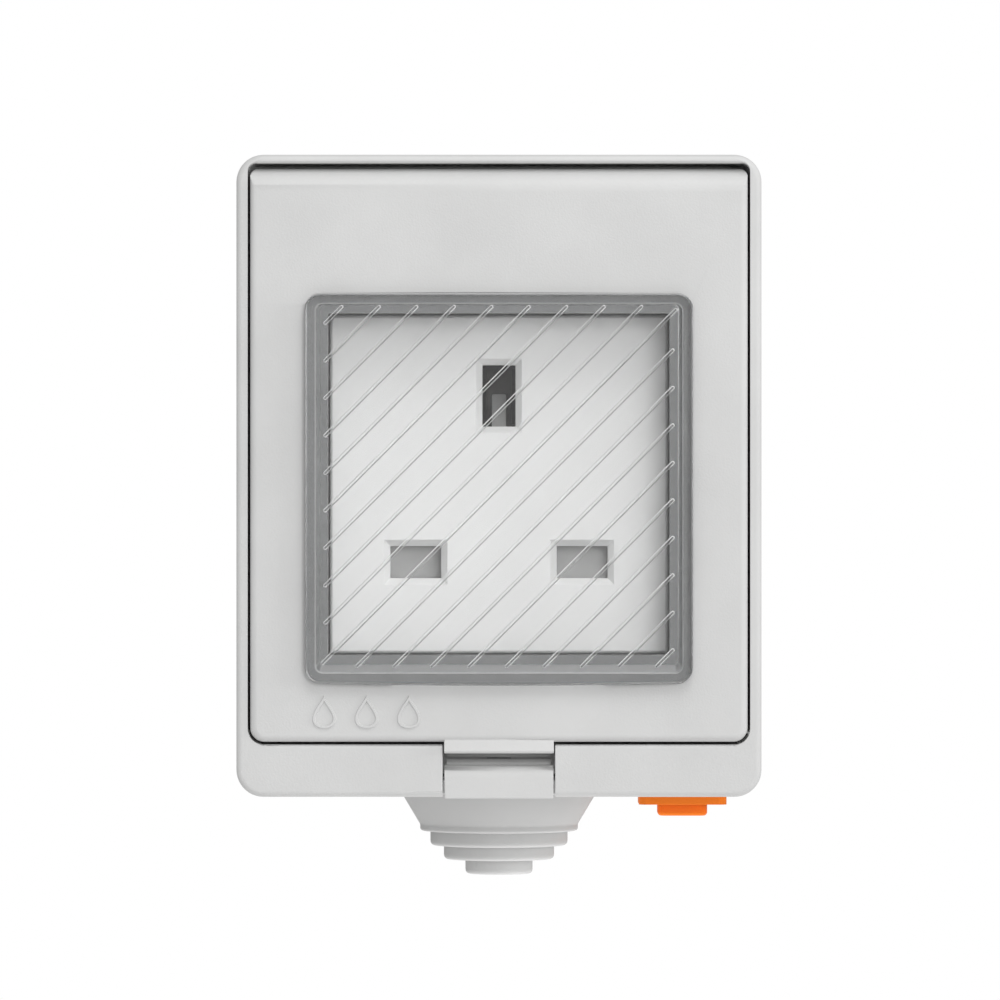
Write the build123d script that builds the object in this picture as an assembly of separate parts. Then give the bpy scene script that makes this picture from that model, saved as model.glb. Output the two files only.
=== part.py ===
import os

from build123d import *

os.makedirs("parts", exist_ok=True)

# Case: outline seen from the front, in mm, and depths measured out from the wall
FRAME_WIDTH = 69.5
FRAME_HEIGHT = 85.0
FRAME_CORNER = 3.6
FRAME_ROUND = 0.8
RIM_WALL = 1.5
FRAME_WALL = 2.2
BOX_INSET = 0.6
BOX_WALL = 2.2
BOX_BACK = 2.4
BOX_DEPTH = 31.0
BOX_BACK_BEVEL = 1.2
BACK_RELIEF = (22.0, 44.0, 0.6)
BACK_RELIEF_X = 15.0
GASKET_THICK = 0.8
GASKET_INSET = 0.5
GASKET_WIDTH = 1.4
RIM_DEPTH = 52.0
TOP_RIM = 1.15
LOWER_STRIP = 7.3
WELL_DEPTH = 11.0
FLOOR_THICK = 2.5
POCKET_END = 3.1
POCKET_SIDE = 4.25

# Fits
GLIDE = 0.06
SLIP = 0.02
LOOSE = 0.25

# Wall screws and case screws
WALL_HOLE_X = 20.0
WALL_HOLE_Z = 30.0
WALL_HOLE_R = 2.25
CASE_SCREW_INSET = 5.75
CASE_SCREW_DROP = 9.2
CASE_SCREW_RISE = 5.0
POST_SIDE = 6.4
POST_GAP = 0.2
CASE_SCREW_R = 1.25
CASE_SCREW_LONG = 15.0
CASE_SCREW_BLIND = 1.5
POST_END = 1.7
CASE_HEAD_R = 2.8
CASE_HEAD_H = 1.8

# Lid and hinge
LID_SIDE_GAP = 0.33
LID_TOP_GAP = 0.65
LID_BOTTOM_GAP = 0.35
LID_CORNER = 1.9
LID_TOP_CORNER = 1.1
LID_PROUD = 0.6
LID_WALL = 1.8
LID_SKIRT = 1.6
LID_DEEP = 8.1
LID_EDGE_ROUND = 1.0
BARREL_R = 3.2
BARREL_BORE = 2.2
RIM_CHAMFER = 0.3
RECESS_TOP_CORNER = 1.0
HINGE_PIN_R = 1.0
HINGE_PIN_HALF = 15.6
KNUCKLE_MID = 10.95
KNUCKLE_WIDE = 2.7
LUG_MID = 13.9
LUG_WIDE = 2.6
LUG_R = 1.9
LUG_FOOT_TOP = 5.0
LUG_FOOT_LOW = 7.4

# Finger lip, catch and latch
NOTCH_HALF = 7.45
NOTCH_DEEP = 8.5
LIP_HALF = 7.25
LIP_DROP = 1.5
LIP_FLARE = 0.7
CATCH_HALF = 7.0
CATCH_BEHIND = 1.0
CATCH_THICK = 1.2
CATCH_DROP = 2.2
CATCH_CLEAR = 0.15
LATCH_HALF = 7.2
LATCH_HIGH = 4.4
LATCH_PROUD = 0.2
LATCH_THICK = 1.8
LATCH_ROUND = 1.7
LATCH_PIN_INSET = 5.0
LATCH_PIN_RISE = 2.4
LATCH_PIN_R = 0.75
LATCH_PIN_HALF = 9.4
LATCH_BOSS_R = 1.7
LATCH_SPRING_HALF = 2.0

# Window and its seal
WINDOW_WIDTH = 51.3
WINDOW_HEIGHT = 51.6
WINDOW_CORNER = 2.1
WINDOW_Z = -1.64
WINDOW_PROUD = 1.5
WINDOW_THICK = 2.6
WINDOW_EDGE_BEVEL = 0.35
PANE_INSET = 1.9
PANE_LIFT = 0.35
PANE_SUNK = 0.7
PANE_DRAFT = 32
RIB_COUNT_EACH_SIDE = 9
RIB_PITCH = 4.93
RIB_WIDE = 0.62
RIB_HIGH = 0.35
RIB_FIELD = 47.0
LEDGE_WIDE = 0.75
LEDGE_THICK = 1.6
LEDGE_FRAME = 1.2
SEAL_FLANGE = 0.5
SEAL_GAP = 0.45
SEAL_BROW_GAP = 0.05
SEAL_CLEAR = 0.3
LIP_WIDE = 3.25
LIP_HIGH = 1.4

# Socket module
PANEL_SIZE = 45.0
PANEL_Z = -1.1
PANEL_PROUD = 2.0
PANEL_WALL = 3.5
PANEL_EDGE = 0.3
PANEL_FLANGE = 49.6
PANEL_FLANGE_THICK = 2.0
PANEL_POCKET = 40.0
PIN_SPACING = 22.23
LINE_DROP = 10.4
EARTH_RISE = 11.8
LINE_SLOT = (6.8, 4.3)
EARTH_SLOT = (4.4, 8.2)
SLOT_BEVEL = 0.85
BODY_SIZE = 44.4
BODY_WALL = 1.8
BODY_BACK = 16.0
CLIP_HALF = 5.0
CLIP_THICK = 1.4
CLIP_HOOK = 1.2
CLAMP_SCREW_R = 1.5
SHUTTER_GAP = 0.2
SHUTTER_THICK = 2.0
SHUTTER_FLAG = (32.0, 5.2)
SHUTTER_STEM = 6.0
RAMP_WIDE = 1.9
RAMP_RISE = 4.8
CONTACT_STRIP = 0.8
CONTACT_BEHIND = 1.8
CONTACT_GAP = 3.5
LINE_CONTACT_WIDE = 6.0
EARTH_CONTACT_WIDE = 7.4
TAIL_WIDE = 3.0

# Board and what it carries
BOARD_CLEAR = 0.8
BOARD_BELOW = 3.9
BOARD_ABOVE = 4.5
BOARD_BACK = 10.0
BOARD_THICK = 1.6
BOARD_TAB = 4.4
BOARD_TAB_HIGH = 6.8
STANDOFF_X = 17.0
STANDOFF_DZ = 17.5
STANDOFF_SIDE = 4.0
RELAY = (19.0, 15.4, 10.2)
RELAY_AT = (-12.5, 2.4)
CONVERTER = (17.0, 12.4, 10.5)
CONVERTER_AT = (11.5, 2.4)
CAPACITOR = (13.0, 11.0, 6.0)
CAPACITOR_AT = (1.0, 2.4)
RADIO_BOARD = (18.0, 24.0, 0.8)
RADIO_CAN = (15.0, 15.0, 2.2)
RADIO_AT = (-9.0, 14.0)
TERMINAL = (24.0, 11.0, 9.0)
TERMINAL_AT = (2.0, 0.9)
TERMINAL_PITCH = 7.5
TERMINAL_WELL = 5.0
TERMINAL_FLOOR = 2.0
TERMINAL_WELL_HIGH = 7.0
CLAMP_WALL = 0.9
CLAMP_HIGH = 6.0
CLAMP_DEEP = 6.5
CLAMP_LIFT = 0.6
CLAMP_HEAD = 1.4

# Cable grommet and push button, both in the underside
UNDERSIDE_AXIS = 15.5
GROMMET_NECK_R = 10.5
GROMMET_COLLAR_R = 12.0
GROMMET_COLLAR_H = 2.0
GROMMET_FOOT_R = 14.2
GROMMET_CONE_R = 10.8
GROMMET_CONE_DROP = 5.7
GROMMET_LIP = 0.9
GROMMET_STEPS = ((9.4, 2.0), (7.55, 1.9), (4.6, 2.0))
GROMMET_WALL = 1.3
GROMMET_THROAT_R = 8.1
BUTTON_INSET = 9.05
BEZEL = (12.0, 9.0)
BEZEL_ROUND = 1.2
BEZEL_DROP = 2.9
BEZEL_NECK = (9.4, 7.6)
BEZEL_ABOVE = 0.8
CAP = (6.8, 5.2)
CAP_ROUND = 1.1
CAP_PROUD = 1.6
CAP_BEVEL = 0.5
CAP_SHOULDER = (8.6, 6.8, 0.9)
STEM_SIDE = 2.8
SWITCH = (6.0, 3.2)
SWITCH_RISE = 2.2
STEM_LONG = 2.3

# Values that follow from the above
BOX_WIDTH = FRAME_WIDTH - 2 * BOX_INSET
BOX_HEIGHT = FRAME_HEIGHT - 2 * BOX_INSET
BOX_CORNER = FRAME_CORNER - BOX_INSET
BOX_UNDER = -BOX_HEIGHT / 2
BOX_FLOOR_Z = BOX_UNDER + BOX_WALL
FRAME_BACK = BOX_DEPTH + GASKET_THICK
FRAME_LOW = -FRAME_HEIGHT / 2
FLOOR_DEPTH = RIM_DEPTH - WELL_DEPTH
FLOOR_BACK = FLOOR_DEPTH - FLOOR_THICK
LID_WIDTH = FRAME_WIDTH - 2 * RIM_WALL - 2 * LID_SIDE_GAP
LID_TOP = FRAME_HEIGHT / 2 - TOP_RIM - LID_TOP_GAP
LID_BOTTOM = FRAME_LOW + LOWER_STRIP
LID_HEIGHT = LID_TOP - LID_BOTTOM
LID_MID = (LID_TOP + LID_BOTTOM) / 2
LID_FACE = RIM_DEPTH + LID_PROUD
LID_BACK = LID_FACE - LID_WALL
LID_SKIRT_BACK = LID_FACE - LID_DEEP
AXIS_DEPTH = LID_FACE - BARREL_R
AXIS_Z = LID_TOP - BARREL_R
RECESS_TOP = LID_TOP + LID_TOP_GAP
RECESS_LOW = LID_BOTTOM - LID_BOTTOM_GAP
NOTCH_BACK = RIM_DEPTH - NOTCH_DEEP
LATCH_LOW = FRAME_LOW - LATCH_PROUD
LATCH_TOP = LATCH_LOW + LATCH_HIGH
LATCH_AXIS_DEPTH = RIM_DEPTH - LATCH_PIN_INSET
LATCH_AXIS_Z = LATCH_LOW + LATCH_PIN_RISE
CATCH_BACK = LATCH_AXIS_DEPTH - CATCH_BEHIND
CATCH_LOW = LID_BOTTOM - CATCH_DROP
WINDOW_FRONT = LID_FACE + WINDOW_PROUD
WINDOW_BACK = WINDOW_FRONT - WINDOW_THICK
PANE_FACE = WINDOW_FRONT - PANE_SUNK
LEDGE_FRONT = WINDOW_BACK - SEAL_FLANGE
LEDGE_BACK = LEDGE_FRONT - LEDGE_THICK
LEDGE_OPENING = (WINDOW_WIDTH - 2 * LEDGE_WIDE, WINDOW_HEIGHT - 2 * LEDGE_WIDE)
LIP_FRONT = FLOOR_DEPTH + LIP_HIGH
LIP_OPENING = PANEL_SIZE + 2 * LOOSE
SEAL_BACK = LIP_FRONT + SEAL_CLEAR
PANEL_FRONT = FLOOR_DEPTH + PANEL_PROUD
SHUTTER_FRONT = PANEL_FRONT - PANEL_WALL - SHUTTER_GAP
SHUTTER_BACK = SHUTTER_FRONT - SHUTTER_THICK
CONTACT_FRONT = SHUTTER_BACK - CONTACT_BEHIND
FLANGE_BACK = FLOOR_BACK - PANEL_FLANGE_THICK
LINE_Z = PANEL_Z - LINE_DROP
EARTH_Z = PANEL_Z + EARTH_RISE
CASE_SCREW_X = FRAME_WIDTH / 2 - CASE_SCREW_INSET
CASE_SCREW_TOP = LID_TOP - CASE_SCREW_DROP
CASE_SCREW_LOW = LID_BOTTOM + CASE_SCREW_RISE
CASE_SCREW_END = FLOOR_DEPTH - CASE_SCREW_LONG
CASE_SCREWS = [
    (x, z)
    for x in (-CASE_SCREW_X, CASE_SCREW_X)
    for z in (CASE_SCREW_TOP, CASE_SCREW_LOW)
]
BOARD_WIDTH = 2 * (CASE_SCREW_X - POST_SIDE / 2 - BOARD_CLEAR)
BOARD_LOW = BOX_FLOOR_Z + BOARD_BELOW
BOARD_TOP = -BOX_FLOOR_Z - BOARD_ABOVE
BOARD_FRONT = BOARD_BACK + BOARD_THICK
BODY_TOP = PANEL_Z + BODY_SIZE / 2
BODY_LOW = PANEL_Z - BODY_SIZE / 2
RELAY_MID = (RELAY_AT[0], BODY_TOP + RELAY_AT[1] + RELAY[2] / 2)
CONVERTER_MID = (CONVERTER_AT[0], BODY_TOP + CONVERTER_AT[1] + CONVERTER[2] / 2)
CAPACITOR_X = TERMINAL_AT[0] - TERMINAL[0] / 2 - CAPACITOR_AT[0] - CAPACITOR[0] / 2
CAPACITOR_MID = (CAPACITOR_X, BODY_LOW - CAPACITOR_AT[1] - CAPACITOR[2] / 2)
TERMINAL_MID = (TERMINAL_AT[0], BODY_LOW - TERMINAL_AT[1] - TERMINAL[2] / 2)
TERMINAL_LOW = TERMINAL_MID[1] - TERMINAL[2] / 2
WELL_FLOOR = BOARD_FRONT + TERMINAL_FLOOR
BUTTON_X = BOX_WIDTH / 2 - BUTTON_INSET
BUTTON_AT = Pos(BUTTON_X, -UNDERSIDE_AXIS)
BEZEL_LOW = BOX_UNDER - BEZEL_DROP
BEZEL_TOP = BOX_FLOOR_Z + BEZEL_ABOVE
CAP_LOW = BEZEL_LOW - CAP_PROUD
SWITCH_LOW = BEZEL_TOP + SWITCH_RISE
STANDOFFS = [(-STANDOFF_X, PANEL_Z + STANDOFF_DZ), (STANDOFF_X, PANEL_Z - STANDOFF_DZ)]
TERMINAL_WAYS = [TERMINAL_AT[0] + i * TERMINAL_PITCH for i in (-1, 0, 1)]
SIDE = Plane(origin=(0, 0, 0), x_dir=(0, -1, 0), z_dir=(-1, 0, 0))


# Front view sketch made solid between two depths from the wall
def slab(sketch, back, front):
    return extrude(Plane.XZ.offset(back) * sketch, amount=front - back)


# Side view sketch (depth, height) made solid across the width
def across(sketch, half, mid=0.0):
    return Pos(mid, 0, 0) * extrude(SIDE * sketch, amount=half, both=True)


# Plan view sketch made solid between two heights
def column(sketch, low, high):
    return extrude(Plane.XY.offset(low) * sketch, amount=high - low)


def disc(x, z, radius, back, front):
    return slab(Pos(x, z) * Circle(radius), back, front)


def rounded(width, height, corner, z=0.0):
    return Pos(0, z) * RectangleRounded(width, height, corner)


def square(size):
    return Pos(0, PANEL_Z) * Rectangle(size, size)


def block(x0, x1, z0, z1, back, front):
    return slab(Pos((x0 + x1) / 2, (z0 + z1) / 2) * Rectangle(x1 - x0, z1 - z0), back, front)


def hinge_rod(radius, half, mid=0.0):
    return across(Pos(AXIS_DEPTH, AXIS_Z) * Circle(radius), half, mid)


def latch_rod(radius, half, mid=0.0):
    return across(Pos(LATCH_AXIS_DEPTH, LATCH_AXIS_Z) * Circle(radius), half, mid)


# Rear box: open tray with two full posts, two short ones on its side walls, and its holes
def rear_box():
    box = slab(rounded(BOX_WIDTH, BOX_HEIGHT, BOX_CORNER), 0, BOX_DEPTH)
    box = chamfer(box.faces().sort_by(Axis.Y)[-1].edges(), BOX_BACK_BEVEL)
    inside = Rectangle(BOX_WIDTH - 2 * BOX_WALL, BOX_HEIGHT - 2 * BOX_WALL)
    box -= slab(inside, BOX_BACK, BOX_DEPTH)
    hole_end = CASE_SCREW_END - CASE_SCREW_BLIND
    for x, z in CASE_SCREWS:
        foot = BOX_BACK if z > 0 else hole_end - POST_END
        box += slab(Pos(x, z) * Rectangle(POST_SIDE, POST_SIDE), foot, FLOOR_BACK - POST_GAP)
        box -= disc(x, z, CASE_SCREW_R + SLIP, hole_end, FLOOR_BACK)
    for x in (-WALL_HOLE_X, WALL_HOLE_X):
        for z in (-WALL_HOLE_Z, WALL_HOLE_Z):
            box -= disc(x, z, WALL_HOLE_R, 0, BOX_BACK)
    for x in (-BACK_RELIEF_X, BACK_RELIEF_X):
        box -= slab(Pos(x, 0) * Rectangle(BACK_RELIEF[0], BACK_RELIEF[1]), 0, BACK_RELIEF[2])
    below = (BOX_UNDER - 1, BOX_FLOOR_Z + 1)
    box -= column(Pos(0, -UNDERSIDE_AXIS) * Circle(GROMMET_NECK_R + SLIP), *below)
    neck = Rectangle(BEZEL_NECK[0] + 2 * SLIP, BEZEL_NECK[1] + 2 * SLIP)
    box -= column(BUTTON_AT * neck, *below)
    return box


def box_gasket():
    width = BOX_WIDTH - 2 * GASKET_INSET
    height = BOX_HEIGHT - 2 * GASKET_INSET
    ring = rounded(width, height, BOX_CORNER - GASKET_INSET)
    ring -= Rectangle(width - 2 * GASKET_WIDTH, height - 2 * GASKET_WIDTH)
    return slab(ring, BOX_DEPTH, FRAME_BACK)


# Hinge lug: round eye on the hinge axis with an arm down to the frame floor
def hinge_lug(mid):
    eye = Pos(AXIS_DEPTH, AXIS_Z) * Circle(LUG_R)
    arm = Polygon(
        (AXIS_DEPTH - 1.78, AXIS_Z - 0.66),
        (FLOOR_DEPTH, AXIS_Z - LUG_FOOT_TOP),
        (FLOOR_DEPTH, AXIS_Z - LUG_FOOT_LOW),
        (AXIS_DEPTH + 0.3, AXIS_Z - 1.87),
        align=None,
    )
    return across(eye + arm, LUG_WIDE / 2, mid)


# Snap clip: springy arm behind the floor with a hook over the socket plate's flange
def module_clip(side):
    edge = PANEL_FLANGE / 2 + SLIP
    tip = FLANGE_BACK - CLIP_THICK
    arm = Polygon(
        (FLOOR_BACK, edge),
        (FLOOR_BACK, edge + CLIP_THICK),
        (tip, edge + CLIP_THICK),
        (tip, edge),
        (FLANGE_BACK - SLIP, edge - CLIP_HOOK),
        (FLANGE_BACK - SLIP, edge),
        align=None,
    )
    upright = across(arm, CLIP_HALF)
    if side < 0:
        upright = mirror(upright, Plane.XY)
    return Pos(0, 0, PANEL_Z) * upright


# Outline of the recess for the lid, with tighter corners at its top than at its foot
def recess(wide):
    high = RECESS_TOP - RECESS_LOW
    middle = (RECESS_TOP + RECESS_LOW) / 2
    outline = rounded(wide, high, FRAME_CORNER - RIM_WALL, middle)
    return outline + rounded(wide, high / 2, RECESS_TOP_CORNER, middle + high / 4)


# Front frame: rim and skirt, floor around the socket, hinge lugs, lower strip with the latch notch
def front_frame():
    frame = slab(rounded(FRAME_WIDTH, FRAME_HEIGHT, FRAME_CORNER), FRAME_BACK, RIM_DEPTH)
    frame = fillet(frame.faces().sort_by(Axis.Y)[0].edges(), FRAME_ROUND)
    inside = Rectangle(FRAME_WIDTH - 2 * FRAME_WALL, FRAME_HEIGHT - 2 * FRAME_WALL)
    frame -= slab(inside, FRAME_BACK, FLOOR_BACK)
    wide = FRAME_WIDTH - 2 * RIM_WALL
    frame -= slab(recess(wide), FLOOR_DEPTH, RIM_DEPTH)
    mouth = Plane.XZ.offset(RIM_DEPTH - RIM_CHAMFER) * recess(wide - 2 * RIM_CHAMFER - 2 * SLIP)
    frame -= extrude(mouth, amount=RIM_CHAMFER, taper=-45)
    pocket = (FRAME_LOW + FRAME_WALL, RECESS_LOW - RIM_WALL)
    near = NOTCH_HALF + POCKET_END
    far = FRAME_WIDTH / 2 - POCKET_SIDE
    for x0, x1 in ((-far, -near), (near, far)):
        frame -= block(x0, x1, pocket[0], pocket[1], FLOOR_BACK, RIM_DEPTH - FRAME_WALL)
    frame += slab(square(LIP_OPENING + 2 * LIP_WIDE), FLOOR_DEPTH, LIP_FRONT)
    frame -= slab(square(LIP_OPENING), FLOOR_BACK, LIP_FRONT)
    for x, z in CASE_SCREWS:
        frame -= disc(x, z, CASE_SCREW_R + LOOSE, FLOOR_BACK, FLOOR_DEPTH)
    for side in (-1, 1):
        frame += module_clip(side)
    for mid in (-LUG_MID, LUG_MID):
        frame += hinge_lug(mid)
    frame -= hinge_rod(HINGE_PIN_R + SLIP, HINGE_PIN_HALF + 1)
    frame -= block(-NOTCH_HALF, NOTCH_HALF, FRAME_LOW - 1, RECESS_LOW + 1, NOTCH_BACK, RIM_DEPTH)
    frame -= latch_rod(LATCH_PIN_R + SLIP, LATCH_PIN_HALF + SLIP)
    return frame


# Case screws: from under the lid, through the frame floor into the posts
def case_screws():
    screws = []
    for x, z in CASE_SCREWS:
        shank = disc(x, z, CASE_SCREW_R, CASE_SCREW_END, FLOOR_DEPTH)
        screws.append(shank + disc(x, z, CASE_HEAD_R, FLOOR_DEPTH, FLOOR_DEPTH + CASE_HEAD_H))
    return Compound(screws)


# Lid: shallow tray whose top edge is rounded about the hinge axis
def lid():
    outline = rounded(LID_WIDTH, LID_HEIGHT, LID_CORNER, LID_MID)
    outline += rounded(LID_WIDTH, LID_HEIGHT / 2, LID_TOP_CORNER, LID_MID + LID_HEIGHT / 4)
    tray = slab(outline, LID_SKIRT_BACK, LID_FACE)
    tray = fillet(tray.faces().sort_by(Axis.Y)[0].edges(), LID_EDGE_ROUND)
    keep = block(-LID_WIDTH, LID_WIDTH, LID_BOTTOM - 1, AXIS_Z, LID_SKIRT_BACK, LID_FACE)
    tray &= keep + hinge_rod(BARREL_R, LID_WIDTH)
    half = LID_WIDTH / 2 - LID_SKIRT
    tray -= block(-half, half, LID_BOTTOM + LID_SKIRT, AXIS_Z, LID_SKIRT_BACK, LID_BACK)
    tray -= block(-half, half, AXIS_Z - 1, LID_TOP + 1, LID_SKIRT_BACK, AXIS_DEPTH)
    tray -= hinge_rod(BARREL_BORE, half)
    for mid in (-KNUCKLE_MID, KNUCKLE_MID):
        tray += hinge_rod(BARREL_R, KNUCKLE_WIDE / 2, mid)
    tray -= hinge_rod(HINGE_PIN_R + GLIDE, HINGE_PIN_HALF + 1)
    opening = (WINDOW_WIDTH + 2 * SLIP, WINDOW_HEIGHT + 2 * SLIP, WINDOW_CORNER)
    ledge = Rectangle(WINDOW_WIDTH + 2 * LEDGE_FRAME, WINDOW_HEIGHT + 2 * LEDGE_FRAME)
    tray += slab(Pos(0, WINDOW_Z) * ledge, LEDGE_BACK, LID_BACK)
    tray -= slab(Pos(0, WINDOW_Z) * Rectangle(*LEDGE_OPENING), LEDGE_BACK, LEDGE_FRONT)
    tray -= slab(rounded(*opening, WINDOW_Z), LEDGE_FRONT, LID_FACE)
    lip = Polygon(
        (LID_FACE - 0.35, LID_BOTTOM + 0.35),
        (LID_FACE + LIP_FLARE, LID_BOTTOM - LIP_DROP + 0.3),
        (LID_FACE + LIP_FLARE - 0.3, LID_BOTTOM - LIP_DROP),
        (LID_BACK - 1.3, LID_BOTTOM - LIP_DROP),
        (LID_BACK - 1.3, LID_BOTTOM + 0.9),
        align=None,
    )
    tray += across(lip, LIP_HALF)
    catch = Polygon(
        (CATCH_BACK, LID_BOTTOM + 0.5),
        (CATCH_BACK, CATCH_LOW),
        (CATCH_BACK + CATCH_THICK, CATCH_LOW),
        (CATCH_BACK + CATCH_THICK, LID_BOTTOM + 0.5),
        align=None,
    )
    tray += across(catch, CATCH_HALF)
    return tray


# Window seal: rubber ring under the window, with a skirt that meets the lip round the socket
def window_seal():
    flange = rounded(WINDOW_WIDTH, WINDOW_HEIGHT, WINDOW_CORNER, WINDOW_Z)
    skirt = Pos(0, WINDOW_Z) * Rectangle(LEDGE_OPENING[0] - 2 * SLIP, LEDGE_OPENING[1] - 2 * SLIP)
    ring = slab(flange - square(PANEL_SIZE + 2 * SEAL_BROW_GAP), LEDGE_FRONT, WINDOW_BACK)
    return ring + slab(skirt - square(PANEL_SIZE + 2 * SEAL_GAP), SEAL_BACK, LEDGE_FRONT)


# Window: clear plate with a raised rim around a sunk pane, and slanting ribs on the pane
def lid_window():
    shape = slab(rounded(WINDOW_WIDTH, WINDOW_HEIGHT, WINDOW_CORNER, WINDOW_Z), WINDOW_BACK, WINDOW_FRONT)
    shape = chamfer(shape.faces().sort_by(Axis.Y)[0].edges(), WINDOW_EDGE_BEVEL)
    pane = Rectangle(WINDOW_WIDTH - 2 * PANE_INSET, WINDOW_HEIGHT - 2 * PANE_INSET - PANE_LIFT)
    pane = Plane.XZ.offset(PANE_FACE) * Pos(0, WINDOW_Z + PANE_LIFT / 2) * pane
    shape -= extrude(pane, amount=PANE_SUNK, taper=-PANE_DRAFT)
    for i in range(-RIB_COUNT_EACH_SIDE, RIB_COUNT_EACH_SIDE + 1):
        long = (RIB_FIELD - abs(i) * RIB_PITCH) * 2**0.5
        end = long / 2
        half = RIB_WIDE / 2
        bar = Polygon(
            (-end, 0),
            (-end + half, -half),
            (end - half, -half),
            (end, 0),
            (end - half, half),
            (-end + half, half),
            align=None,
        )
        shift = i * RIB_PITCH / 2
        at = Pos(shift, WINDOW_Z + PANE_LIFT - shift) * Rot(0, 0, 45)
        shape += slab(at * bar, PANE_FACE, PANE_FACE + RIB_HIGH)
    return shape


def hinge_pin():
    return hinge_rod(HINGE_PIN_R, HINGE_PIN_HALF)


# Latch: front plate with a rounded top edge, arm to its pin, hook behind the finger slot
def latch():
    plate_back = RIM_DEPTH - LATCH_THICK
    plate = Polygon(
        (plate_back, LATCH_LOW),
        (RIM_DEPTH, LATCH_LOW),
        (RIM_DEPTH, LATCH_TOP),
        (plate_back, LATCH_TOP),
        align=None,
    )
    corner = plate.vertices().group_by(Axis.Y)[-1].sort_by(Axis.X)[-1]
    plate = fillet(corner, LATCH_ROUND)
    arm = Polygon(
        (LATCH_AXIS_DEPTH, LATCH_AXIS_Z - 0.7),
        (plate_back + 0.2, LATCH_AXIS_Z - 0.7),
        (plate_back + 0.2, LATCH_AXIS_Z + 0.7),
        (LATCH_AXIS_DEPTH, LATCH_AXIS_Z + 0.7),
        align=None,
    )
    boss = Pos(LATCH_AXIS_DEPTH, LATCH_AXIS_Z) * Circle(LATCH_BOSS_R)
    hook_back = CATCH_BACK + CATCH_THICK + 0.3
    hook = Polygon(
        (hook_back, LATCH_AXIS_Z),
        (hook_back + 1.2, LATCH_AXIS_Z),
        (hook_back + 1.2, CATCH_LOW - CATCH_CLEAR - 0.5),
        (hook_back + 0.6, CATCH_LOW - CATCH_CLEAR),
        (hook_back, CATCH_LOW - CATCH_CLEAR),
        align=None,
    )
    body = across(plate, LATCH_HALF) + across(arm + boss, LATCH_HALF - 0.2) + across(hook, CATCH_HALF)
    body -= block(
        -LATCH_SPRING_HALF,
        LATCH_SPRING_HALF,
        LATCH_LOW - 1,
        LATCH_AXIS_Z + LATCH_BOSS_R,
        NOTCH_BACK,
        plate_back,
    )
    return body - latch_rod(LATCH_PIN_R + GLIDE, LATCH_HALF)


def latch_pin():
    return latch_rod(LATCH_PIN_R, LATCH_PIN_HALF)


# Latch return spring: bent strip from the notch's back wall, around the pin, to the latch plate
def latch_spring():
    thick = 0.3
    reach = RIM_DEPTH - LATCH_THICK
    under = LATCH_AXIS_Z - LATCH_PIN_R - 0.1
    path = Polyline(
        (NOTCH_BACK + thick / 2, LATCH_AXIS_Z + 3.4),
        (NOTCH_BACK + thick / 2, under - thick / 2 + 0.6),
        (NOTCH_BACK + 1.4, under - thick / 2),
        (LATCH_AXIS_DEPTH + 0.9, under - thick / 2),
        (reach - thick / 2 - 0.02, LATCH_AXIS_Z - 1.7),
        (reach - thick / 2 - 0.02, LATCH_AXIS_Z - 0.5),
    )
    return across(trace(path, thick), LATCH_SPRING_HALF - 0.4)


# White socket plate: square front with three bevelled pin slots, flange and shutter pocket behind
def socket_plate():
    plate = slab(square(PANEL_SIZE), FLOOR_BACK, PANEL_FRONT)
    plate = chamfer(plate.faces().sort_by(Axis.Y)[0].edges(), PANEL_EDGE)
    plate += slab(square(PANEL_FLANGE), FLANGE_BACK, FLOOR_BACK)
    wall_back = PANEL_FRONT - PANEL_WALL
    plate -= slab(square(PANEL_POCKET), FLANGE_BACK, wall_back)
    slots = Pos(-PIN_SPACING / 2, LINE_Z) * Rectangle(*LINE_SLOT)
    slots += Pos(PIN_SPACING / 2, LINE_Z) * Rectangle(*LINE_SLOT)
    slots += Pos(0, EARTH_Z) * Rectangle(*EARTH_SLOT)
    plate -= slab(slots, wall_back, PANEL_FRONT)
    front = plate.faces().sort_by(Axis.Y)[0]
    edges = [edge for wire in front.inner_wires() for edge in wire.edges()]
    return chamfer(edges, SLOT_BEVEL)


# Socket body: open box behind the plate with board standoffs and slots for the tails
def socket_body():
    shell = slab(square(BODY_SIZE), BODY_BACK, FLANGE_BACK)
    shell -= slab(square(BODY_SIZE - 2 * BODY_WALL), BODY_BACK + BODY_WALL, FLANGE_BACK)
    for x, z in STANDOFFS:
        shell += slab(Pos(x, z) * Rectangle(STANDOFF_SIDE, STANDOFF_SIDE), BOARD_FRONT, BODY_BACK)
    wide = TAIL_WIDE + 2 * LOOSE
    thin = CONTACT_STRIP + 2 * LOOSE
    for x in (-PIN_SPACING / 2, PIN_SPACING / 2):
        shell -= slab(Pos(x, LINE_Z) * Rectangle(wide, thin), BODY_BACK, BODY_BACK + BODY_WALL)
    shell -= slab(Pos(0, EARTH_Z) * Rectangle(thin, wide), BODY_BACK, BODY_BACK + BODY_WALL)
    return shell


# Shutter: sliding plate over both line slots with a ramp standing in the earth slot
def shutter():
    foot = EARTH_Z - EARTH_SLOT[1] / 2 - 0.3
    flag = Pos(0, LINE_Z) * Rectangle(*SHUTTER_FLAG)
    stem = Pos(0, (LINE_Z + foot) / 2) * Rectangle(SHUTTER_STEM, foot - LINE_Z)
    ramp = Polygon(
        (SHUTTER_FRONT, foot - 0.1),
        (SHUTTER_FRONT - RAMP_RISE, foot + RAMP_RISE),
        (SHUTTER_FRONT - RAMP_RISE, foot + RAMP_RISE - 2),
        (SHUTTER_BACK, foot - 2),
        (SHUTTER_FRONT, foot - 2),
        align=None,
    )
    return slab(flag + stem, SHUTTER_BACK, SHUTTER_FRONT) + across(ramp, RAMP_WIDE / 2)


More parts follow.
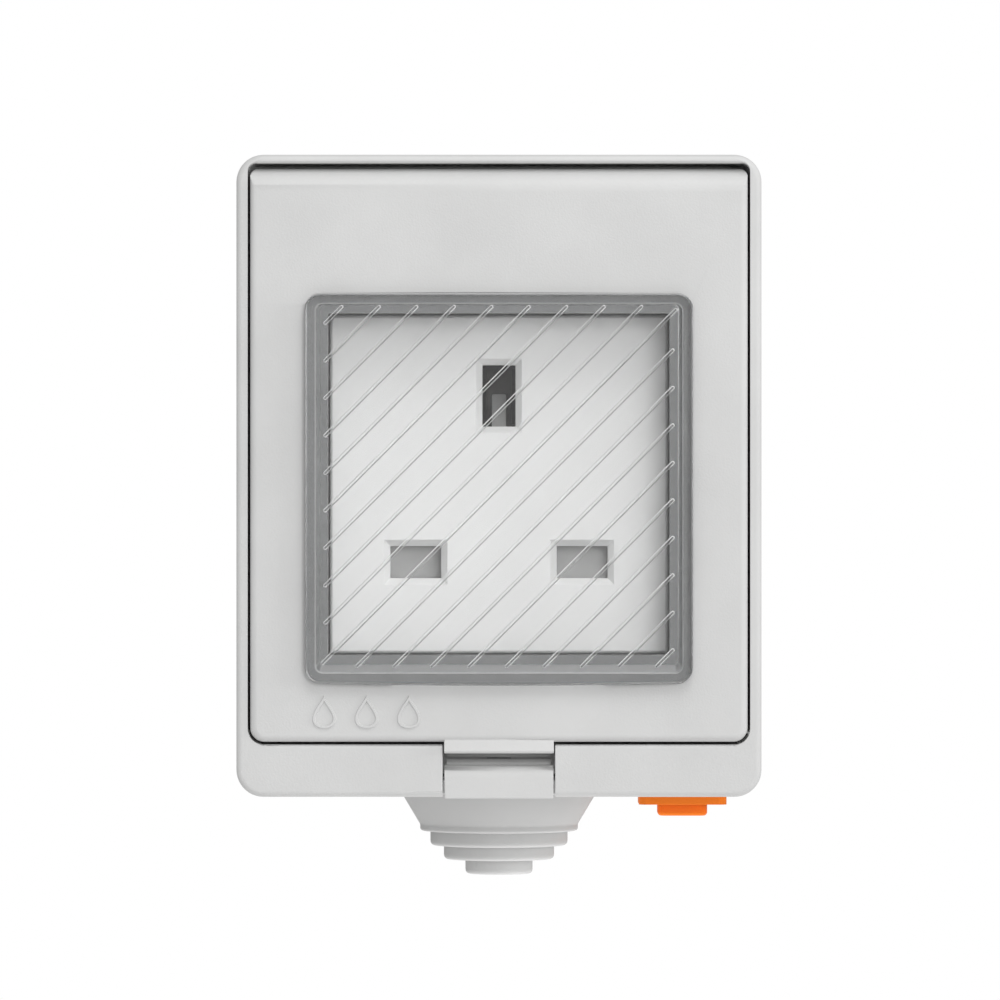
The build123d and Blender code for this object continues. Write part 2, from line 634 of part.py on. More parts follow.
# Shutter return spring: zigzag strip standing on the pocket's lower wall
def shutter_spring():
    low = PANEL_Z - PANEL_POCKET / 2
    high = LINE_Z - SHUTTER_FLAG[1] / 2
    thick = 0.3
    folds = 6
    rise = (high - low - thick) / folds
    points = [(2.4 * (-1) ** i, low + thick / 2 + i * rise) for i in range(folds + 1)]
    depths = (SHUTTER_BACK + 0.2, SHUTTER_FRONT - 0.2)
    strip = slab(trace(Polyline(*points), thick), *depths)
    return strip & block(-4, 4, low, high, *depths)


# Contact: brass strip bent to a U that grips the pin, with a tail to the board
def contact(wide):
    base = BODY_BACK + BODY_WALL
    half = CONTACT_GAP / 2
    mouth = CONTACT_FRONT - 2
    outer = half + CONTACT_STRIP
    u = Polygon(
        (base, -outer),
        (mouth, -outer),
        (CONTACT_FRONT, -outer - 0.6),
        (CONTACT_FRONT, -half - 0.6),
        (mouth, -half),
        (base + CONTACT_STRIP, -half),
        (base + CONTACT_STRIP, half),
        (mouth, half),
        (CONTACT_FRONT, half + 0.6),
        (CONTACT_FRONT, outer + 0.6),
        (mouth, outer),
        (base, outer),
        align=None,
    )
    tail = Pos((BOARD_FRONT + base) / 2, 0) * Rectangle(base - BOARD_FRONT, CONTACT_STRIP)
    return across(u, wide / 2) + across(tail, TAIL_WIDE / 2)


def live_contact():
    return Pos(PIN_SPACING / 2, 0, LINE_Z) * contact(LINE_CONTACT_WIDE)


def neutral_contact():
    return Pos(-PIN_SPACING / 2, 0, LINE_Z) * contact(LINE_CONTACT_WIDE)


def earth_contact():
    return Pos(0, 0, EARTH_Z) * Rot(0, 90, 0) * contact(EARTH_CONTACT_WIDE)


# Circuit board with a tab that carries the push switch
def circuit_board():
    mid = (BOARD_LOW + BOARD_TOP) / 2
    outline = Pos(0, mid) * Rectangle(BOARD_WIDTH, BOARD_TOP - BOARD_LOW)
    tab_mid = BOARD_LOW + BOARD_TAB_HIGH / 2
    outline += Pos(BOARD_WIDTH / 2, tab_mid) * Rectangle(2 * BOARD_TAB, BOARD_TAB_HIGH)
    return slab(outline, BOARD_BACK, BOARD_FRONT)


# Plain block standing on the board: width, height off the board, length up the board
def on_board(size, at):
    return slab(Pos(*at) * Rectangle(size[0], size[2]), BOARD_FRONT, BOARD_FRONT + size[1])


def power_relay():
    body = on_board(RELAY, RELAY_MID)
    return chamfer(body.faces().sort_by(Axis.Y)[0].edges(), 0.5)


def supply_converter():
    body = on_board(CONVERTER, CONVERTER_MID)
    return chamfer(body.edges().filter_by(Axis.Y), 0.8)


def supply_capacitor():
    return on_board(CAPACITOR, CAPACITOR_MID)


def wireless_module():
    board_back = BOARD_BACK - RADIO_BOARD[2]
    card = slab(Pos(*RADIO_AT) * Rectangle(RADIO_BOARD[0], RADIO_BOARD[1]), board_back, BOARD_BACK)
    can = Pos(RADIO_AT[0], RADIO_AT[1] - 3.5) * Rectangle(RADIO_CAN[0], RADIO_CAN[1])
    return card + slab(can, board_back - RADIO_CAN[2], board_back)


# Terminal block: three wells open to the front and below, for the supply wires
def terminal_block():
    body = on_board(TERMINAL, TERMINAL_MID)
    front = BOARD_FRONT + TERMINAL[1]
    half = TERMINAL_WELL / 2
    for x in TERMINAL_WAYS:
        body -= block(x - half, x + half, TERMINAL_LOW, TERMINAL_LOW + TERMINAL_WELL_HIGH, WELL_FLOOR, front)
    return body


# Cage clamps: brass boxes standing in the wells, open below for the wire
def terminal_clamps():
    low = TERMINAL_LOW + CLAMP_LIFT
    top = low + CLAMP_HIGH
    front = WELL_FLOOR + CLAMP_DEEP
    half = TERMINAL_WELL / 2 - LOOSE
    gap = half - CLAMP_WALL
    cages = []
    for x in TERMINAL_WAYS:
        cage = block(x - half, x + half, low, top, WELL_FLOOR, front)
        cage -= block(x - gap, x + gap, low, top, WELL_FLOOR + CLAMP_WALL, front - CLAMP_WALL)
        cages.append(cage)
    return Compound(cages)


# Clamp screws: round heads on the cages' front walls
def terminal_screws():
    mid = TERMINAL_LOW + CLAMP_LIFT + CLAMP_HIGH / 2
    seat = WELL_FLOOR + CLAMP_DEEP
    return Compound([disc(x, mid, CLAMP_SCREW_R, seat, seat + CLAMP_HEAD) for x in TERMINAL_WAYS])


# Cable grommet: collar inside, neck in the wall, cone and three steps outside, closed tip
def cable_grommet():
    top = BOX_FLOOR_Z + GROMMET_COLLAR_H
    rim = BOX_UNDER - GROMMET_CONE_DROP - GROMMET_LIP
    outer = [
        (GROMMET_THROAT_R, top),
        (GROMMET_COLLAR_R, top),
        (GROMMET_COLLAR_R, BOX_FLOOR_Z),
        (GROMMET_NECK_R, BOX_FLOOR_Z),
        (GROMMET_NECK_R, BOX_UNDER),
        (GROMMET_FOOT_R, BOX_UNDER),
        (GROMMET_CONE_R, BOX_UNDER - GROMMET_CONE_DROP),
        (GROMMET_CONE_R, rim),
    ]
    level = rim
    for radius, high in GROMMET_STEPS:
        outer += [(radius, level), (radius, level - high)]
        level -= high
    floor = rim - GROMMET_STEPS[0][1] + GROMMET_WALL
    inner = [(0, level), (0, floor), (GROMMET_THROAT_R, floor)]
    profile = Plane.XZ * Polygon(*(outer + inner), align=None)
    return Pos(0, -UNDERSIDE_AXIS, 0) * revolve(profile, Axis.Z)


# Push button: bezel fixed in the underside, cap that slides in it, switch above
def button_bezel():
    bezel = column(BUTTON_AT * RectangleRounded(*BEZEL, BEZEL_ROUND), BEZEL_LOW, BOX_UNDER)
    bezel += column(BUTTON_AT * Rectangle(*BEZEL_NECK), BOX_UNDER, BEZEL_TOP)
    hole = Rectangle(CAP[0] + 2 * LOOSE, CAP[1] + 2 * LOOSE)
    return bezel - column(BUTTON_AT * hole, BEZEL_LOW, BEZEL_TOP)


def button_cap():
    cap = column(BUTTON_AT * RectangleRounded(*CAP, CAP_ROUND), CAP_LOW, BEZEL_TOP)
    cap = chamfer(cap.faces().sort_by(Axis.Z)[0].edges(), CAP_BEVEL)
    shoulder = Rectangle(CAP_SHOULDER[0], CAP_SHOULDER[1])
    return cap + column(BUTTON_AT * shoulder, BEZEL_TOP, BEZEL_TOP + CAP_SHOULDER[2])


def switch_housing():
    reach = UNDERSIDE_AXIS - BOARD_FRONT
    body = column(BUTTON_AT * Rectangle(SWITCH[0], 2 * reach), SWITCH_LOW, SWITCH_LOW + SWITCH[1])
    bore = SWITCH_LOW + STEM_LONG
    hole = Rectangle(STEM_SIDE + 2 * LOOSE, STEM_SIDE + 2 * LOOSE)
    return body - column(BUTTON_AT * hole, SWITCH_LOW, bore)


def switch_stem():
    low = BEZEL_TOP + CAP_SHOULDER[2]
    post = Rectangle(STEM_SIDE, STEM_SIDE)
    return column(BUTTON_AT * post, low, low + STEM_LONG)


PIECES = {
    "rear_box": rear_box,
    "box_gasket": box_gasket,
    "front_frame": front_frame,
    "case_screws": case_screws,
    "lid": lid,
    "window_seal": window_seal,
    "lid_window": lid_window,
    "hinge_pin": hinge_pin,
    "latch": latch,
    "latch_pin": latch_pin,
    "latch_spring": latch_spring,
    "socket_plate": socket_plate,
    "socket_body": socket_body,
    "shutter": shutter,
    "shutter_spring": shutter_spring,
    "live_contact": live_contact,
    "neutral_contact": neutral_contact,
    "earth_contact": earth_contact,
    "circuit_board": circuit_board,
    "power_relay": power_relay,
    "supply_converter": supply_converter,
    "supply_capacitor": supply_capacitor,
    "wireless_module": wireless_module,
    "terminal_block": terminal_block,
    "terminal_clamps": terminal_clamps,
    "terminal_screws": terminal_screws,
    "cable_grommet": cable_grommet,
    "button_bezel": button_bezel,
    "button_cap": button_cap,
    "switch_housing": switch_housing,
    "switch_stem": switch_stem,
}

for node, make in PIECES.items():
    export_step(make(), f"parts/{node}.step")
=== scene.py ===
import math

import bmesh
import bpy
from mathutils import Matrix, Vector


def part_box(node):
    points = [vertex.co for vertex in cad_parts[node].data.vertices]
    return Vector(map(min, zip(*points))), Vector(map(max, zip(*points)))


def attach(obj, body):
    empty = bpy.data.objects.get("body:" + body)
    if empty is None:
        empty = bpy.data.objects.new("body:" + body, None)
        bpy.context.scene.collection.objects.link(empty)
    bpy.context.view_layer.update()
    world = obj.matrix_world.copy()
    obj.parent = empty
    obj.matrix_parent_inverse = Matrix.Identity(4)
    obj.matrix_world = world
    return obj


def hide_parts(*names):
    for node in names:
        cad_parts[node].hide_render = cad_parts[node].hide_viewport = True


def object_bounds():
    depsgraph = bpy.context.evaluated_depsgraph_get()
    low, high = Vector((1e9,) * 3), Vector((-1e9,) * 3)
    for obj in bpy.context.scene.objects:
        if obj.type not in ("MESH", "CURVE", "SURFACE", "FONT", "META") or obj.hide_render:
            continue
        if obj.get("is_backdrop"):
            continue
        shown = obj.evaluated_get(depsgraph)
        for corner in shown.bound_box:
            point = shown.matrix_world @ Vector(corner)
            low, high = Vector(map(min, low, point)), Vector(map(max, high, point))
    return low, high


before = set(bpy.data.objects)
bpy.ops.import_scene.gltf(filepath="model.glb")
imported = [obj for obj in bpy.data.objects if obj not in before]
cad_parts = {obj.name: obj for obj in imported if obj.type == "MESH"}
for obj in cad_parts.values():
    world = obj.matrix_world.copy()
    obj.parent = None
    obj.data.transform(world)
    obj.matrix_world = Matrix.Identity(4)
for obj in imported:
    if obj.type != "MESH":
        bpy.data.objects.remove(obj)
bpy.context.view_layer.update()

# Rear box: the deep half of the case, which is screwed to the wall.
# Light grey polycarbonate, injection moulded, with a fine spark-eroded matt skin;
# its edges are broken by a small radius from the tool.
MM = 0.001
EDGE_BREAK = 0.14 * MM
EDGE_STEPS = 3
SHARP_CORNER = math.radians(35)
ROOM_ALONG = 2.2
ROOM_ACROSS = 1.6
MERGE_WITHIN = 5e-6
FLAT_WITHIN = math.radians(0.6)
DRIFT_SCALE = 90
DRIFT_BAND = (0.3, 0.7)
GLOSS_SPREAD = 0.04
CASE_GREY = (0.642, 0.643, 0.639)
SCREW_SIDE = 29 * MM
WALL_SCREW_SIDE = 20 * MM


def fed(tree, node, inputs):
    """Feeds a node's inputs with sockets or plain values."""
    for label, value in inputs.items():
        if isinstance(value, bpy.types.NodeSocket):
            tree.links.new(value, node.inputs[label])
        else:
            node.inputs[label].default_value = value
    return node


def added(tree, kind, inputs=None, **options):
    """A new node of a tree, with its options set and its inputs fed."""
    node = tree.nodes.new(kind)
    for option, value in options.items():
        setattr(node, option, value)
    return fed(tree, node, inputs or {})


def ramped(tree, value, band, first, last):
    """A colour that runs from one to another while a value crosses a band."""
    shade = added(tree, "ShaderNodeValToRGB", {"Fac": value})
    for stop, position, colour in zip(shade.color_ramp.elements, band, (first, last)):
        stop.position = position
        stop.color = (*colour, 1)
    return shade.outputs["Color"]


def moulded(name, colour, roughness, mottle=0.03, grain=0.16, relief=0.04):
    """A moulded finish: slow colour drift, a fine grain in the skin and uneven gloss."""
    material = bpy.data.materials.new(name)
    material.use_nodes = True
    tree = material.node_tree
    plain = {"Base Color": (*colour, 1), "Roughness": roughness}
    shader = fed(tree, tree.nodes["Principled BSDF"], plain)
    place = added(tree, "ShaderNodeTexCoord").outputs["Object"]
    drift = added(tree, "ShaderNodeTexNoise", {"Vector": place, "Scale": DRIFT_SCALE, "Detail": 4})
    darker = [c * (1 - mottle) for c in colour]
    paler = [min(1, c * (1 + mottle)) for c in colour]
    noise = {"Vector": place, "Scale": 1 / (grain * MM), "Detail": 2}
    skin = added(tree, "ShaderNodeTexNoise", noise).outputs["Fac"]
    spread = {"Value": skin, "To Min": roughness - GLOSS_SPREAD, "To Max": roughness + GLOSS_SPREAD}
    gloss = added(tree, "ShaderNodeMapRange", spread)
    bump = added(tree, "ShaderNodeBump", {"Height": skin, "Strength": relief, "Distance": grain * MM})
    varied = {
        "Base Color": ramped(tree, drift.outputs["Fac"], DRIFT_BAND, darker, paler),
        "Roughness": gloss.outputs["Result"],
        "Normal": bump.outputs["Normal"],
    }
    fed(tree, shader, varied)
    return material


def baked(piece):
    """Makes what a piece's modifiers give its plain mesh."""
    bpy.context.view_layer.update()
    shaped = piece.evaluated_get(bpy.context.evaluated_depsgraph_get())
    mesh = bpy.data.meshes.new_from_object(shaped)
    piece.modifiers.clear()
    piece.data = mesh
    return mesh


def settle(piece, smooth_angle=32):
    """Turns a piece into a plain mesh with smooth curves, crisp edges and truly flat faces."""
    mesh = baked(piece)
    mesh.shade_smooth()
    mesh.set_sharp_from_angle(angle=math.radians(smooth_angle))
    flat = piece.modifiers.new("flat_faces", "WEIGHTED_NORMAL")
    flat.keep_sharp = True
    baked(piece)
    return piece


def meshed(work, name):
    """The mesh of a shape that has been worked out."""
    mesh = bpy.data.meshes.new(name)
    work.to_mesh(mesh)
    work.free()
    return mesh


def placed(name, mesh, material):
    """Puts a mesh in the scene as a piece with one finish."""
    mesh.materials.clear()
    mesh.materials.append(material)
    piece = bpy.data.objects.new(name, mesh)
    bpy.context.scene.collection.objects.link(piece)
    return piece


def has_room(edge, wide):
    """Whether a corner is sharp, long enough and wide enough on both sides to be rounded."""
    if edge.calc_face_angle(0) < SHARP_CORNER or edge.calc_length() < ROOM_ALONG * wide:
        return False
    start, along = edge.verts[0].co, edge.verts[1].co - edge.verts[0].co
    for face in edge.link_faces:
        across = max((v.co - start).cross(along).length for v in face.verts) / along.length
        if across < ROOM_ACROSS * wide:
            return False
    return True


def softened(node, body, material, edge=EDGE_BREAK, seams=()):
    """The moulded form of a solid: flat faces joined, but split where they ring a hole, edges rounded."""
    low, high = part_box(node)
    work = bmesh.new()
    work.from_mesh(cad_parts[node].data)
    bmesh.ops.remove_doubles(work, verts=work.verts, dist=MERGE_WITHIN)
    bmesh.ops.dissolve_limit(work, angle_limit=FLAT_WITHIN, verts=work.verts, edges=work.edges)
    for x in ((low.x + high.x) / 2, *seams):
        everything = [*work.verts, *work.edges, *work.faces]
        bmesh.ops.bisect_plane(work, geom=everything, plane_co=(x, 0, 0), plane_no=(1, 0, 0))
    weight = work.edges.layers.float.new("bevel_weight_edge")
    for corner in work.edges:
        corner[weight] = float(has_room(corner, edge))
    name = node + "_moulded"
    piece = placed(name, meshed(work, name), material)
    rounding = piece.modifiers.new("edge_break", "BEVEL")
    rounding.width = edge
    rounding.segments = EDGE_STEPS
    rounding.limit_method = "WEIGHT"
    rounding.use_clamp_overlap = False
    stands_for(settle(piece), node, body)


def stands_for(piece, node, body):
    """Hands a finished piece over in place of its solid."""
    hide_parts(node)
    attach(piece, body)


case_plastic = moulded("case_plastic", CASE_GREY, 0.46, grain=0.28, relief=0.12)
box_seams = (-SCREW_SIDE, -WALL_SCREW_SIDE, WALL_SCREW_SIDE, SCREW_SIDE)
softened("rear_box", "case", case_plastic, seams=box_seams)

# Box gasket: flat ring pinched between the rear box and the front frame.
# Dark grey silicone, die cut from sheet, so its faces are plain and slightly dusty.
SEAL_GREY = (0.175, 0.177, 0.178)


def finished(node, material):
    """Gives a solid that stays as it is its finish."""
    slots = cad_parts[node].data.materials
    slots.clear()
    slots.append(material)


seal_rubber = moulded("seal_rubber", SEAL_GREY, 0.62, mottle=0.06, grain=0.1, relief=0.06)
finished("box_gasket", seal_rubber)

# Circuit board: carries the relay, the supply and the radio behind the socket.
# Glass-fibre laminate under green lacquer, with copper tracks showing through as paler lines.
BOARD_GREEN = (0.012, 0.085, 0.04)
TRACK_GREEN = (0.03, 0.16, 0.075)
TRACK_PITCH = 2.54 * MM
PITCHES_TO_A_BLOCK = 8
PALER_BLOCK = 1.3


def place_of(tree):
    """The socket that gives a point's place on its piece."""
    return next(n for n in tree.nodes if n.type == "TEX_COORD").outputs["Object"]


board_lacquer = moulded("board_lacquer", BOARD_GREEN, 0.32, mottle=0.1, grain=0.3, relief=0.03)
tree = board_lacquer.node_tree
upright = {"Vector": place_of(tree), "Rotation": (math.radians(90), 0, 0)}
blocks = {
    "Vector": added(tree, "ShaderNodeMapping", upright).outputs["Vector"],
    "Scale": 1 / (PITCHES_TO_A_BLOCK * TRACK_PITCH),
    "Color1": (*BOARD_GREEN, 1),
    "Color2": (*[c * PALER_BLOCK for c in BOARD_GREEN], 1),
    "Mortar": (*TRACK_GREEN, 1),
    "Mortar Size": 0.015,
    "Brick Width": 0.55,
}
tracks = added(tree, "ShaderNodeTexBrick", blocks)
fed(tree, tree.nodes["Principled BSDF"], {"Base Color": tracks.outputs["Color"]})
finished("circuit_board", board_lacquer)

# Relay, supply converter and switch housing, closed blocks soldered to the board, and the stem
# that slides in the switch. Black filled nylon with a dull moulded skin.
BLACK_NYLON = (0.012, 0.012, 0.013)
black_nylon = moulded("black_nylon", BLACK_NYLON, 0.42, mottle=0.15, grain=0.12, relief=0.08)
for node in ("power_relay", "supply_converter", "switch_housing", "switch_stem"):
    finished(node, black_nylon)

# Supply capacitor: a film capacitor in a box, soldered to the board.
# Yellow flame-proof case filled with resin.
CAPACITOR_YELLOW = (0.52, 0.33, 0.03)
finished("supply_capacitor", moulded("capacitor_case", CAPACITOR_YELLOW, 0.38, mottle=0.05))

# Radio module: a small card with a drawn can soldered over it.
# Tinned steel with the faint streaks of rolled sheet.
TIN = (0.62, 0.61, 0.58)


def rolled_metal(name, colour, roughness, streak_scale=(30, 30, 900)):
    """Rolled or drawn metal: streaks along one direction in its gloss."""
    material = moulded(name, colour, roughness, mottle=0.05, grain=0.2, relief=0.02)
    tree = material.node_tree
    stretched = {"Vector": place_of(tree), "Scale": streak_scale}
    along = added(tree, "ShaderNodeMapping", stretched).outputs["Vector"]
    streaks = added(tree, "ShaderNodeTexNoise", {"Vector": along, "Scale": 6, "Detail": 3})
    gloss = next(n for n in tree.nodes if n.type == "MAP_RANGE")
    fed(tree, gloss, {"Value": streaks.outputs["Fac"]})
    fed(tree, tree.nodes["Principled BSDF"], {"Metallic": 1})
    return material


finished("wireless_module", rolled_metal("tinned_sheet", TIN, 0.34))

# Terminal block, its cage clamps and their screws, for the supply wires.
# Green nylon housing, plain brass cages and steel screws with a driver slot.
TERMINAL_GREEN = (0.035, 0.17, 0.065)
BRASS = (0.60, 0.40, 0.14)
STEEL = (0.46, 0.465, 0.47)
finished("terminal_block", moulded("terminal_nylon", TERMINAL_GREEN, 0.4, mottle=0.06))
steel = rolled_metal("plain_steel", STEEL, 0.28)
finished("terminal_clamps", rolled_metal("brass_strip", BRASS, 0.3))
finished("terminal_screws", steel)

# Pin contacts: three strips bent to a U, whose tails are soldered to the board.
# Half-hard brass, stamped, formed and plated with nickel; its colour is painted dark, as the shade deep in
# the slots.
NICKEL_PAINTED_DARK = (0.10, 0.097, 0.09)
plated_brass = rolled_metal("plated_brass", NICKEL_PAINTED_DARK, 0.4)
for node in ("live_contact", "neutral_contact", "earth_contact"):
    finished(node, plated_brass)

# Socket body, socket plate, shutter and shutter spring: the outlet module.
# White urea plate with a satin face on a nylon body whose near-black colour is painted shade that keeps the
# slots dark;
# grey nylon shutter, steel strip spring.
BODY_PAINTED_DARK = (0.05, 0.05, 0.052)
SOCKET_WHITE = (0.775, 0.775, 0.77)
SHUTTER_GREY = (0.37, 0.37, 0.366)
PLATE_EDGE = 0.07 * MM
SHUTTER_EDGE = 0.15 * MM
socket_white = moulded("socket_white", SOCKET_WHITE, 0.36, mottle=0.012, grain=0.2, relief=0.02)
shutter_grey = moulded("shutter_grey", SHUTTER_GREY, 0.42, mottle=0.03)
finished("socket_body", moulded("body_nylon", BODY_PAINTED_DARK, 0.5, mottle=0.08))
softened("socket_plate", "case", socket_white, edge=PLATE_EDGE)
softened("shutter", "shutter", shutter_grey, edge=SHUTTER_EDGE)
spring_steel = rolled_metal("spring_steel", STEEL, 0.35, streak_scale=(900, 30, 30))
finished("shutter_spring", spring_steel)

# Cable grommet: a stepped cone pushed into the underside, cut back to suit the cable.
# Soft light grey rubber, moulded in one piece, with rolled lips at each step.
GROMMET_GREY = (0.485, 0.485, 0.482)
GROMMET_THROAT = 8.1 * MM
GROMMET_COLLAR = (12.0 * MM, 2.0 * MM)
GROMMET_NECK = 10.5 * MM
GROMMET_FOOT = 14.2 * MM
GROMMET_CONE = (10.8 * MM, 5.7 * MM)
GROMMET_LIP = 0.9 * MM
GROMMET_STEPS = ((9.4 * MM, 2.0 * MM), (7.55 * MM, 1.9 * MM), (4.6 * MM, 2.0 * MM))
GROMMET_WALL = 1.3 * MM
GROMMET_ROLL = 0.7 * MM
GROMMET_CREASE = 0.15 * MM
GROMMET_SEGMENTS = 96
CORNER_SHARE = 0.45


def rolled(profile, radius, crease, steps=4):
    """A profile with rounded outer corners and creased inner ones, its ends left as they are."""
    points = [profile[0]]
    for before, corner, after in zip(profile, profile[1:], profile[2:]):
        before, corner, after = Vector(before), Vector(corner), Vector(after)
        round_off = crease if (corner - before).cross(after - corner) > 0 else radius
        start = corner + (before - corner) * min(CORNER_SHARE, round_off / (before - corner).length)
        stop = corner + (after - corner) * min(CORNER_SHARE, round_off / (after - corner).length)
        for step in range(steps + 1):
            t = step / steps
            points.append(start * (1 - t) ** 2 + corner * 2 * t * (1 - t) + stop * t**2)
    return points + [profile[-1]]


def lofted(name, loops):
    """A closed shell through loops of equal length, with a face over each end."""
    work = bmesh.new()
    rings = [[work.verts.new(point) for point in loop] for loop in loops]
    for near, far in zip(rings, rings[1:]):
        for i in range(len(near)):
            j = (i + 1) % len(near)
            work.faces.new((near[i], near[j], far[j], far[i]))
    work.faces.new(rings[0][::-1])
    work.faces.new(rings[-1])
    bmesh.ops.recalc_face_normals(work, faces=work.faces)
    return meshed(work, name)


def turned(name, profile, segments):
    """A shape turned about the upright axis through the origin from radius and height pairs."""
    loops = []
    for radius, height in profile:
        turns = [2 * math.pi * i / segments for i in range(segments)]
        loops.append([(radius * math.cos(t), radius * math.sin(t), height) for t in turns])
    return lofted(name, loops)


grommet_rubber = moulded("grommet_rubber", GROMMET_GREY, 0.55, mottle=0.025, grain=0.14, relief=0.05)
low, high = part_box("cable_grommet")
rim = low.z + sum(height for radius, height in GROMMET_STEPS)
under = rim + GROMMET_LIP + GROMMET_CONE[1]
inner_floor = rim - GROMMET_STEPS[0][1] + GROMMET_WALL
profile = [
    (GROMMET_THROAT, inner_floor),
    (GROMMET_THROAT, high.z),
    (GROMMET_COLLAR[0], high.z),
    (GROMMET_COLLAR[0], high.z - GROMMET_COLLAR[1]),
    (GROMMET_NECK, high.z - GROMMET_COLLAR[1]),
    (GROMMET_NECK, under),
    (GROMMET_FOOT, under),
    (GROMMET_CONE[0], rim + GROMMET_LIP),
    (GROMMET_CONE[0], rim),
]
level = rim
for radius, height in GROMMET_STEPS:
    profile += [(radius, level), (radius, level - height)]
    level -= height
profile.append((GROMMET_STEPS[-1][0] / 2, level))
profile = rolled(profile, GROMMET_ROLL, GROMMET_CREASE)
mesh = turned("cable_grommet_rolled", profile, GROMMET_SEGMENTS)
mesh.transform(Matrix.Translation(((low.x + high.x) / 2, (low.y + high.y) / 2, 0)))
stands_for(settle(placed("cable_grommet_rolled", mesh, grommet_rubber)), "cable_grommet", "case")

# Push button: a bezel clipped into the underside and a cap that slides in it.
# Orange thermoplastic rubber over a hard core.
BUTTON_ORANGE = (0.87, 0.195, 0.013)
BUTTON_SHEEN = 0.25
BEZEL_EDGE = 0.2 * MM
CAP_SIZE = (6.8 * MM, 5.2 * MM)
CAP_CORNER = 1.1 * MM
CAP_ROUND = 0.5 * MM
CAP_SHOULDER = 0.9 * MM
SHOULDER_CORNER = 0.1 * MM
CORNER_STEPS = 8
ROUND_STEPS = 5


def outline(left, right, low, high, corner, low_steps=1):
    """Points round a rectangle with round corners, with more of them along its low side if asked for."""
    points = []
    corners = (
        (right - corner, high - corner, 0),
        (left + corner, high - corner, 90),
        (left + corner, low + corner, 180),
        (right - corner, low + corner, 270),
    )
    for across, up, start in corners:
        for step in range(CORNER_STEPS + 1):
            turn = math.radians(start + 90 * step / CORNER_STEPS)
            points.append((across + corner * math.cos(turn), up + corner * math.sin(turn)))
        if start == 180:
            for step in range(1, low_steps):
                points.append((left + corner + (right - left - 2 * corner) * step / low_steps, low))
    return points


def rounding_steps(radius):
    """How far in and how far down a quarter round lies at each of its steps, from its side to its top."""
    for step in range(ROUND_STEPS + 1):
        turn = math.radians(90 * step / ROUND_STEPS)
        yield radius * (1 - math.cos(turn)), radius * (1 - math.sin(turn))


button_orange = moulded("button_orange", BUTTON_ORANGE, 0.4, mottle=0.02, grain=0.12, relief=0.03)
tree = button_orange.node_tree
fed(tree, tree.nodes["Principled BSDF"], {"Specular IOR Level": BUTTON_SHEEN})
softened("button_bezel", "case", button_orange, edge=BEZEL_EDGE)
low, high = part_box("button_cap")
middle = (low + high) / 2


def cap_loop(inset, height):
    """A loop round the cap, set in from its sides, at one height."""
    half, deep = CAP_SIZE[0] / 2 - inset, CAP_SIZE[1] / 2 - inset
    points = outline(middle.x - half, middle.x + half, middle.y - deep, middle.y + deep, CAP_CORNER - inset)
    return [(x, y, height) for x, y in points]


shoulder = outline(low.x, high.x, low.y, high.y, SHOULDER_CORNER)
loops = [[(x, y, height) for x, y in shoulder] for height in (high.z, high.z - CAP_SHOULDER)]
loops.append(cap_loop(0, high.z - CAP_SHOULDER))
loops += [cap_loop(inset, low.z + drop) for inset, drop in rounding_steps(CAP_ROUND)]
cap = placed("button_cap_rounded", lofted("button_cap_rounded", loops), button_orange)
stands_for(settle(cap), "button_cap", "button")

# Front frame: rim, floor round the socket, hinge lugs and the strip with the latch notch.
# The same grey polycarbonate as the rear box, to which it is screwed.
SOCKET_EDGE = 25.5 * MM
FRAME_EDGE = 0.22 * MM
frame_seams = (-SCREW_SIDE, -SOCKET_EDGE, SOCKET_EDGE, SCREW_SIDE)
softened("front_frame", "case", case_plastic, edge=FRAME_EDGE, seams=frame_seams)

# Case screws: hold the front frame to the posts of the rear box.
# Plated steel pan heads with a cross recess, one screw set four times.
SCREW_SHANK = 1.25 * MM
SCREW_HEAD = (2.8 * MM, 1.8 * MM)
SCREW_TIP = 1.2 * MM
SCREW_ROLL = 0.4 * MM
SCREW_SEGMENTS = 40
POINT_SHARE = 0.2
BAND_SHARE = 0.5
CROWN_SHARE = 0.75
CROSS_BAR = (3.4 * MM, 0.6 * MM)
CROSS_DEEP = 1.1 * MM

low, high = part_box("case_screws")
long = high.y - low.y
profile = [
    (POINT_SHARE * SCREW_SHANK, -long),
    (SCREW_SHANK, SCREW_TIP - long),
    (SCREW_SHANK, -SCREW_HEAD[1]),
    (SCREW_HEAD[0], -SCREW_HEAD[1]),
    (SCREW_HEAD[0], -BAND_SHARE * SCREW_HEAD[1]),
    (CROWN_SHARE * SCREW_HEAD[0], 0),
    (POINT_SHARE * SCREW_HEAD[0], 0),
]
mesh = turned("one_screw", rolled(profile, SCREW_ROLL, SCREW_ROLL), SCREW_SEGMENTS)
one_screw = placed("one_screw", mesh, steel)


def combined(piece, name, operation, other):
    """Adds a modifier that joins another piece to a piece, or cuts it away."""
    joint = piece.modifiers.new(name, "BOOLEAN")
    joint.operation = operation
    joint.solver = "EXACT"
    joint.object = other
    return joint


for size in (CROSS_BAR, CROSS_BAR[::-1]):
    work = bmesh.new()
    bmesh.ops.create_cube(work, size=1, matrix=Matrix.Diagonal((*size, 2 * CROSS_DEEP, 1)))
    bar = placed("cross_bar", meshed(work, "cross_bar"), steel)
    combined(one_screw, "cross_recess", "DIFFERENCE", bar)
    baked(one_screw)
    bpy.data.objects.remove(bar)
one_screw.data.transform(Matrix.Rotation(math.radians(90), 4, "X"))
settle(one_screw)
chosen = {
    "Screw": ("NodeSocketObject", one_screw),
    "Across": ("NodeSocketFloat", high.x - low.x - 2 * SCREW_HEAD[0]),
    "Up": ("NodeSocketFloat", high.z - low.z - 2 * SCREW_HEAD[0]),
    "Centre": ("NodeSocketVector", ((low.x + high.x) / 2, low.y, (low.z + high.z) / 2)),
    "Finish": ("NodeSocketMaterial", steel),
}


